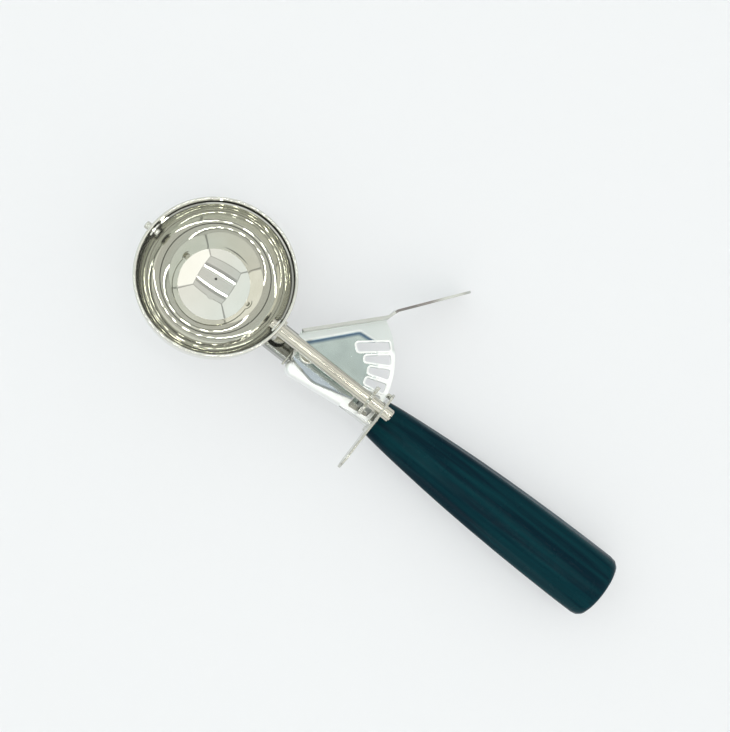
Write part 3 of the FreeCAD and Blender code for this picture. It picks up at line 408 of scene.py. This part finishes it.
# %% [markdown]
# Rubbed metal has many fine scratches, so it looks less like a mirror: the border and the lips get more
# haze than the panel. The press mark is raised by the same border, as a slope less than a millimetre
# wide. One value drives painted highlight, gloss and relief, so they can't drift apart. The strap under
# the lever is painted lighter from the star wheel on, a painted light as if it fell through the slots,
# so it is bright where it shows through the last slot.

# %% Gloss and press mark of the lever, and the strap under it
RUBBED_HAZE = 0.22
PRESS_DEPTH = 0.5
WHEEL_PLACE = 21.0

haze = lever_plate.spread(lever_plate.noise(160, 3), 0.10, 0.20)
rubbed = lever_plate.math("MAXIMUM", lip, border)
lever_plate.join(lever_plate.math("MULTIPLY_ADD", rubbed, RUBBED_HAZE, haze), "Roughness")
lever_plate.bump(border, PRESS_DEPTH * MM)
dress("soft_lever", lever_plate)
# Painted light on the strap: lighter from the star wheel on towards the guard.
painted_light_near_wheel = strap_plate.spread(distance_along(strap_plate, tool_x, WHEEL_PLACE), 0, 1, 0, 3)
strap_plate.join(strap_plate.mix(painted_light_near_wheel, strap_plate.colour, (0.74, 0.75, 0.73)), "Base Color")
print("lever finish nodes in all:", len(lever_plate.nodes))

# %% [markdown]
# The handle is moulded plastic. Eight shallow flutes run along it and fade out near both ends. It
# could be a cylinder with a curve modifier, but the bulge and the butt don't follow one simple curve. A
# hand at a lathe works by stations, which are places along the handle where its width is known. Here
# each station also says how deep the flutes are.

# %% Sizes of the handle
HANDLE_FRONT = 77.5
HANDLE_LENGTH = 103.8
FRONT_DROP = 15.2
BUTT_DROP = 11.8
FLATNESS = 21.9 / 25.8
FLUTES = 8
RING_POINTS = 128
# place behind the front face, radius and depth of the flutes, in millimetres
STATIONS = [
    (0.0, 7.6, 0.0), (2.5, 7.98, 0.0), (6.0, 8.44, 0.05), (12.0, 9.1, 0.20), (20.0, 9.86, 0.38),
    (30.0, 10.7, 0.50), (40.0, 11.38, 0.55), (52.0, 12.0, 0.55), (64.0, 12.44, 0.55), (76.0, 12.74, 0.52),
    (89.5, 12.9, 0.46), (95.0, 12.87, 0.30), (99.6, 12.8, 0.12), (101.6, 12.4, 0.0), (102.9, 11.4, 0.0),
    (103.5, 9.9, 0.0), (103.75, 7.0, 0.0), (HANDLE_LENGTH, 3.0, 0.0),
]
print("stations of the handle:", len(STATIONS))

# %% [markdown]
# A ring of points is now drawn out along the tool from station to station, and both ends are closed.
# The flutes could be cut with eight long rods, but such cuts leave ragged points behind. They are
# pressed in ring by ring instead, and the whole handle is then sloped to where the tang holds it.


# %% Handle
def draw_handle():
    """Draw a ring out along the tool from station to station, and close both ends."""
    bpy.ops.mesh.primitive_circle_add(vertices=RING_POINTS, radius=MM, fill_type="NOTHING",
                                      rotation=(0, math.pi / 2, 0))
    piece = start_piece("grip")
    bpy.ops.object.transform_apply(location=False, rotation=True, scale=True)
    bpy.ops.object.mode_set(mode="EDIT")
    bpy.ops.mesh.select_all(action="SELECT")
    first_radius = STATIONS[0][1]
    bpy.ops.transform.resize(value=(1, first_radius, first_radius * FLATNESS))
    for (place, radius, _), (next_place, next_radius, _) in zip(STATIONS, STATIONS[1:]):
        step = (next_place - place) * MM
        bpy.ops.mesh.extrude_region_move(TRANSFORM_OT_translate={"value": (step, 0, 0)})
        grow = next_radius / radius
        bpy.ops.transform.resize(value=(1, grow, grow))
    bpy.ops.mesh.edge_face_add()
    pick(piece, lambda point: point.co.x < 0.01 * MM)
    bpy.ops.mesh.edge_face_add()
    return piece


def press_flutes(piece):
    """Move the points of each ring towards the middle by the depth of the flutes there."""
    mesh = bmesh.from_edit_mesh(piece.data)
    depths = {place: depth for place, _, depth in STATIONS}
    for point in mesh.verts:
        place = min(depths, key=lambda at: abs(at - point.co.x / MM))
        turn = math.atan2(point.co.z / FLATNESS, point.co.y)
        reach = math.hypot(point.co.y, point.co.z)
        hollow = 0.5 - 0.5 * math.cos(FLUTES * turn)
        share = 1 - depths[place] * MM * hollow / reach
        point.co.y *= share
        point.co.z *= share
    bmesh.update_edit_mesh(piece.data)


def slope_handle(piece):
    """Set the handle behind the guard, lower at its front than at its butt."""
    mesh = bmesh.from_edit_mesh(piece.data)
    slope = (FRONT_DROP - BUTT_DROP) / HANDLE_LENGTH
    for point in mesh.verts:
        point.co.z += slope * point.co.x - FRONT_DROP * MM
        point.co.x += HANDLE_FRONT * MM
    bmesh.update_edit_mesh(piece.data)


grip = draw_handle()
press_flutes(grip)
slope_handle(grip)
bpy.ops.mesh.select_all(action="SELECT")
bpy.ops.mesh.normals_make_consistent(inside=False)
set_down(grip, 40)
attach(grip, "frame")
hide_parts("handle")
print("handle points:", len(grip.data.vertices))

# %% [markdown]
# The plastic is a very deep petrol blue. It flowed into the mould from one end, which left darker and
# lighter streaks along the handle, so the noise is stretched that way. On the flat butt the streaks
# would show their ends as blots, and there the colour is even. The real plastic throws back little
# light when seen from above, so the shine is kept low, and a faint blue sheen brightens its edges.

# %% Handle plastic
FLOW_STRETCH = (14, 330, 330)
DARK_STREAK = (0.0003, 0.014, 0.024)
LIGHT_STREAK = (0.0012, 0.033, 0.043)
EVEN_PETROL = (0.0006, 0.022, 0.033)
GRAIN_DEPTH = 0.006

petrol = Finish("petrol_plastic")
flow = petrol.noise(1.0, 4, FLOW_STRETCH)
streaks = petrol.mix(petrol.spread(flow, 0, 1, 0.38, 0.62), DARK_STREAK, LIGHT_STREAK)
butt_place = HANDLE_FRONT + HANDLE_LENGTH - PIVOT_REACH
at_butt = petrol.spread(distance_along(petrol, tool_x, butt_place), 0, 1, -3.0, -0.5)
petrol.join(petrol.mix(at_butt, streaks, EVEN_PETROL), "Base Color")
petrol.join(petrol.spread(petrol.noise(220, 3), 0.20, 0.30), "Roughness")
petrol.set(IOR=1.3, Specular_IOR_Level=0.12)
petrol.set(Sheen_Weight=0.15, Sheen_Roughness=0.25, Sheen_Tint=(0.01, 0.22, 0.50, 1))
petrol.bump(petrol.noise(700, 3), GRAIN_DEPTH * MM)
dress("grip", petrol)
print("handle finish nodes:", len(petrol.nodes))

# %% [markdown]
# The return spring is a coil of round wire under the lever. One straight leg is held by a peg on the
# strap, and the other pushes the lever back. The imported spring is rigid, and would tear away from one
# of them when the lever turns. So it is modelled again here, with the same sizes, as a coil of wire.

# %% Sizes of the return spring
COIL_RADIUS = 5.3
WIRE_RADIUS = 0.4
WIRE_POINTS = 12
COIL_RISE = 2.25
COIL_TURNS = 2.25
COIL_STEPS = 108
COIL_FLOOR = -9.4
FIXED_LEG = 10.0
MOVING_LEG = 8.0
END_TURN = 2 * math.pi * COIL_TURNS
print("wire in the coil in mm:", round(END_TURN * COIL_RADIUS, 1))

# %% [markdown]
# A coil could be a thick curve, but its ends are hard to join to the legs. Here a small circle is wound
# up by a Screw modifier, and a straight leg is drawn out at each open end.


# %% Return spring
def wind_spring():
    """Wind a small circle up into a coil."""
    bpy.ops.mesh.primitive_circle_add(vertices=WIRE_POINTS, radius=WIRE_RADIUS * MM, fill_type="NOTHING",
                                      location=(COIL_RADIUS * MM, 0, 0), rotation=(math.pi / 2, 0, 0))
    piece = start_piece("coil_spring")
    bpy.ops.object.transform_apply(location=True, rotation=True, scale=True)
    apply_modifier(piece, "SCREW", angle=END_TURN, screw_offset=COIL_RISE * MM, steps=COIL_STEPS,
                   render_steps=COIL_STEPS, use_merge_vertices=False)
    return piece


def draw_leg(piece, end, way, length):
    """Draw a straight leg out of the open end of the wire that is at this place, and close it."""
    pick(piece, lambda edge: edge.is_boundary and all(
        (point.co - end).length < 1.1 * WIRE_RADIUS * MM for point in edge.verts), "EDGE")
    bpy.ops.mesh.extrude_region_move(TRANSFORM_OT_translate={"value": way * length * MM})
    bpy.ops.mesh.edge_face_add()


spring = wind_spring()
bpy.ops.object.mode_set(mode="EDIT")
low_wire = Vector((COIL_RADIUS, 0, 0)) * MM
high_wire = Vector((COIL_RADIUS * math.cos(END_TURN), COIL_RADIUS * math.sin(END_TURN), COIL_RISE)) * MM
draw_leg(spring, low_wire, Vector((0, -1, 0)), FIXED_LEG)
draw_leg(spring, high_wire, Vector((-math.sin(END_TURN), math.cos(END_TURN), 0)), MOVING_LEG)
bpy.ops.mesh.select_all(action="SELECT")
bpy.ops.mesh.normals_make_consistent(inside=False)
bpy.ops.object.mode_set(mode="OBJECT")
under_lever = Matrix.Translation((PIVOT_REACH * MM, 0, COIL_FLOOR * MM))
spring.matrix_world = under_lever @ Matrix.Rotation(math.pi / 2, 4, "Z")
set_down(spring, 60)
dress("coil_spring", small_steel)
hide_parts("return_spring")
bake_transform(spring)
print("spring points:", len(spring.data.vertices))

# %% [markdown]
# The photo looks as if it was taken in a white light tent. Some light seems to come through its pale
# floor from below, because the shadows on it are faint. The floor could be painted on the sky too, but
# only a real plane takes a shadow. It glows a little, and its far edge is lost at the horizon.

# %% Floor
FLOOR_SIZE = 60
bpy.ops.mesh.primitive_plane_add(size=FLOOR_SIZE, location=(0, 0, 0))
floor = start_piece("floor")
paper = Finish("floor_paper")
paper.set(Roughness=0.9, Emission_Color=(0.97, 0.99, 1.0, 1), Emission_Strength=0.40)
paper.join(paper.mix(paper.noise(3, 2), (0.455, 0.46, 0.475), (0.465, 0.47, 0.485)), "Base Color")
dress("floor", paper)
print("floor in metres:", FLOOR_SIZE)

# %% [markdown]
# The bowl is a mirror, so it shows the whole tent: the roof, its lamps, the walls and the lens. The
# tent could be built of panels and area lamps, but then it would stand in the way of other views. It
# is painted on the sky instead. Each direction in the sky is followed up to a flat roof one unit high,
# and the place where it meets that roof, measured from the lens, tells what is seen there. The helpers
# keep such arithmetic short to read.

# %% Sky helpers
world = bpy.data.worlds.new("light_tent")
bpy.context.scene.world = world
world.use_nodes = True
tree = world.node_tree


def step(operation, first, second=None, third=None, clamp=False):
    """One step of arithmetic in the sky's nodes."""
    node = tree.nodes.new("ShaderNodeMath")
    node.operation = operation
    node.use_clamp = clamp
    for socket, value in zip(node.inputs, (first, second, third)):
        if isinstance(value, bpy.types.NodeSocket):
            tree.links.new(value, socket)
        elif value is not None:
            socket.default_value = value
    return node.outputs[0]


def plus(first, second):
    """The sum of two values."""
    return step("ADD", first, second)


def minus(first, second):
    """The difference of two values."""
    return step("SUBTRACT", first, second)


def times(first, second):
    """The product of two values, which is also where both of two places are."""
    return step("MULTIPLY", first, second)


def without_sign(value):
    """How far a value is from nothing."""
    return step("ABSOLUTE", value)


def over(value, limit):
    """1 where a value is over a limit, and else 0."""
    return step("GREATER_THAN", value, limit)


def under(value, limit):
    """1 where a value is under a limit, and else 0."""
    return step("LESS_THAN", value, limit)


def dim(light, share):
    """Take a share of the light away."""
    return times(light, minus(1.0, share))


print("ready to paint the tent")

# %% [markdown]
# The tent stands a few degrees askew to the disher, and the lens isn't straight above the bowl, so the
# sky is turned, and places on the roof are measured from where the bowl sees the lens.

# %% Places on the tent's roof
TENT_TURN = math.radians(6)
LENS_AHEAD = 0.124
LENS_ASIDE = 0.005
LOWEST_VIEW = 0.02

direction = tree.nodes.new("ShaderNodeTexCoord")
turned = tree.nodes.new("ShaderNodeVectorRotate")
turned.rotation_type = "Z_AXIS"
turned.inputs["Angle"].default_value = -TENT_TURN
tree.links.new(direction.outputs["Generated"], turned.inputs["Vector"])
parts = tree.nodes.new("ShaderNodeSeparateXYZ")
tree.links.new(turned.outputs["Vector"], parts.inputs["Vector"])
up = parts.outputs["Z"]
slant = step("MAXIMUM", up, LOWEST_VIEW)
x_from_lens = minus(step("DIVIDE", parts.outputs["X"], slant), LENS_AHEAD)
y_from_lens = minus(step("DIVIDE", parts.outputs["Y"], slant), LENS_ASIDE)
along = without_sign(x_from_lens)
across = without_sign(y_from_lens)
print("steps to a place on the roof:", len(tree.nodes))

# %% [markdown]
# Two strips of lamps run along the roof, each a row of bright dots with a weak glow between them. The
# dots are what sparkles in rings in the bowl, where they are mirrored many times. Outside the strips
# the roof lies in the shade of their frame. The lens looks through a small dark hole between them.

# %% Lamps and lens
LAMP_MIDDLE = 0.043
LAMP_PLACE = 0.205
LAMP_HALF_WIDTH = 0.026
LAMP_END = 0.52
LAMP_PITCH = 0.055
DOT_SHARE = 0.28
GLOW_BETWEEN_DOTS = 0.05
SHADE_WIDTH = 0.12
LENS_HOLE = 0.03464

from_middle = without_sign(minus(y_from_lens, LAMP_MIDDLE))
off_lamp = without_sign(minus(from_middle, LAMP_PLACE))
in_row = times(under(off_lamp, LAMP_HALF_WIDTH), under(along, LAMP_END))
dots = under(step("FRACT", step("DIVIDE", along, LAMP_PITCH)), DOT_SHARE)
lamps = times(in_row, plus(GLOW_BETWEEN_DOTS, dots))
beside_lamps = times(over(from_middle, LAMP_PLACE), under(off_lamp, SHADE_WIDTH))
shade = times(beside_lamps, under(along, LAMP_END))
from_lens_squared = plus(times(along, along), times(across, across))
lens = under(from_lens_squared, LENS_HOLE ** 2)
print("steps with the lamps:", len(tree.nodes))

# %% [markdown]
# Beyond the roof come four walls, brighter than the roof, with a dark line where they meet it and a
# dark seam in each corner. The wall behind the handle is the brightest. All of them are dim at their
# foot, which gives the rod its dark lines. The band right at the horizon is as plain as the floor, so
# that a low view ends in nothing but pale paper.

# %% Walls of the tent
ROOF_HALF = 0.54
EDGE_HALF_WIDTH = 0.010
SEAM_WIDTH = 0.05
FOOT_TOP = 0.22
HORIZON_TOP = 0.03

outside = minus(step("MAXIMUM", along, across), ROOF_HALF)
wall = over(outside, 0.0)
edge_line = under(without_sign(outside), EDGE_HALF_WIDTH)
seam = times(wall, under(without_sign(minus(along, across)), times(across, SEAM_WIDTH)))
back_wall = times(over(x_from_lens, ROOF_HALF), over(along, across))
above_horizon = over(up, HORIZON_TOP)
foot = times(above_horizon, under(up, FOOT_TOP))
print("steps with the walls:", len(tree.nodes))

# %% [markdown]
# Now each of these places gets its light, with the lamps far brighter than all the rest. The numbers
# were chosen by comparing the floor, the panel and the rod with the photo until they came close to it.

# %% Light of the tent
ROOF_LIGHT = 0.81
WALL_EXTRA = 0.27
BACK_WALL_EXTRA = 0.30
LAMP_POWER = 18.0
HORIZON_LIGHT = 0.93
SHADE_DEPTH = 0.42
LINE_DEPTH = 0.55
LENS_DEPTH = 0.95
FOOT_DEPTH = 0.70

plain_light = plus(ROOF_LIGHT, times(wall, WALL_EXTRA))
shaded = dim(plain_light, times(shade, SHADE_DEPTH))
lined = dim(shaded, times(step("MAXIMUM", seam, edge_line), LINE_DEPTH))
lit = plus(plus(lined, times(back_wall, BACK_WALL_EXTRA)), times(lamps, LAMP_POWER))
tent = dim(lit, step("MAXIMUM", times(lens, LENS_DEPTH), times(foot, FOOT_DEPTH)))
horizon = times(minus(1.0, above_horizon), HORIZON_LIGHT)
background = tree.nodes["Background"]
tree.links.new(plus(times(tent, above_horizon), horizon), background.inputs["Strength"])
print("steps with the light:", len(tree.nodes))

# %% [markdown]
# The cloth of the tent isn't one white: it is creamy on the handle's side and a cooler green-grey on
# the bowl's side. One soft blend from side to side is enough to show it in the mirror of the bowl.

# %% Tint of the tent
CREAM = (1.0, 0.985, 0.94, 1)
GREEN_GREY = (0.93, 0.99, 0.97, 1)

towards_bowl = step("MULTIPLY_ADD", parts.outputs["X"], -0.7, 0.5, clamp=True)
cloth = tree.nodes.new("ShaderNodeMix")
cloth.data_type = "RGBA"
first_colour, second_colour = [socket for socket in cloth.inputs if socket.type == "RGBA"]
first_colour.default_value = CREAM
second_colour.default_value = GREEN_GREY
tree.links.new(towards_bowl, cloth.inputs["Factor"])
blend = [socket for socket in cloth.outputs if socket.type == "RGBA"][0]
tree.links.new(blend, background.inputs["Color"])
print("steps of the tent in all:", len(tree.nodes))

# %% [markdown]
# The camera hangs half a metre above the table and looks straight down, turned so that the handle runs
# to the lower right, as in the photo. Its place and its lens come from laying the picture over the
# photo, with the rim, the guard and the butt as near to it as they would go. The Standard view keeps
# white paper white.

# %% Camera
CAMERA_AHEAD = 61.14
CAMERA_ASIDE = 8.6
CAMERA_HEIGHT = 0.5
CAMERA_TURN = 38.3

bpy.ops.object.camera_add(
    location=(bowl_centre.x + CAMERA_AHEAD * MM, bowl_centre.y + CAMERA_ASIDE * MM, CAMERA_HEIGHT),
    rotation=(0, 0, math.radians(CAMERA_TURN)))
camera = bpy.context.object
camera.data.sensor_width = 36
camera.data.lens = 64.87
bpy.context.scene.camera = camera
bpy.context.scene.view_settings.view_transform = "Standard"
print("camera above the bowl in mm:", round((CAMERA_HEIGHT - bowl_centre.z) / MM))
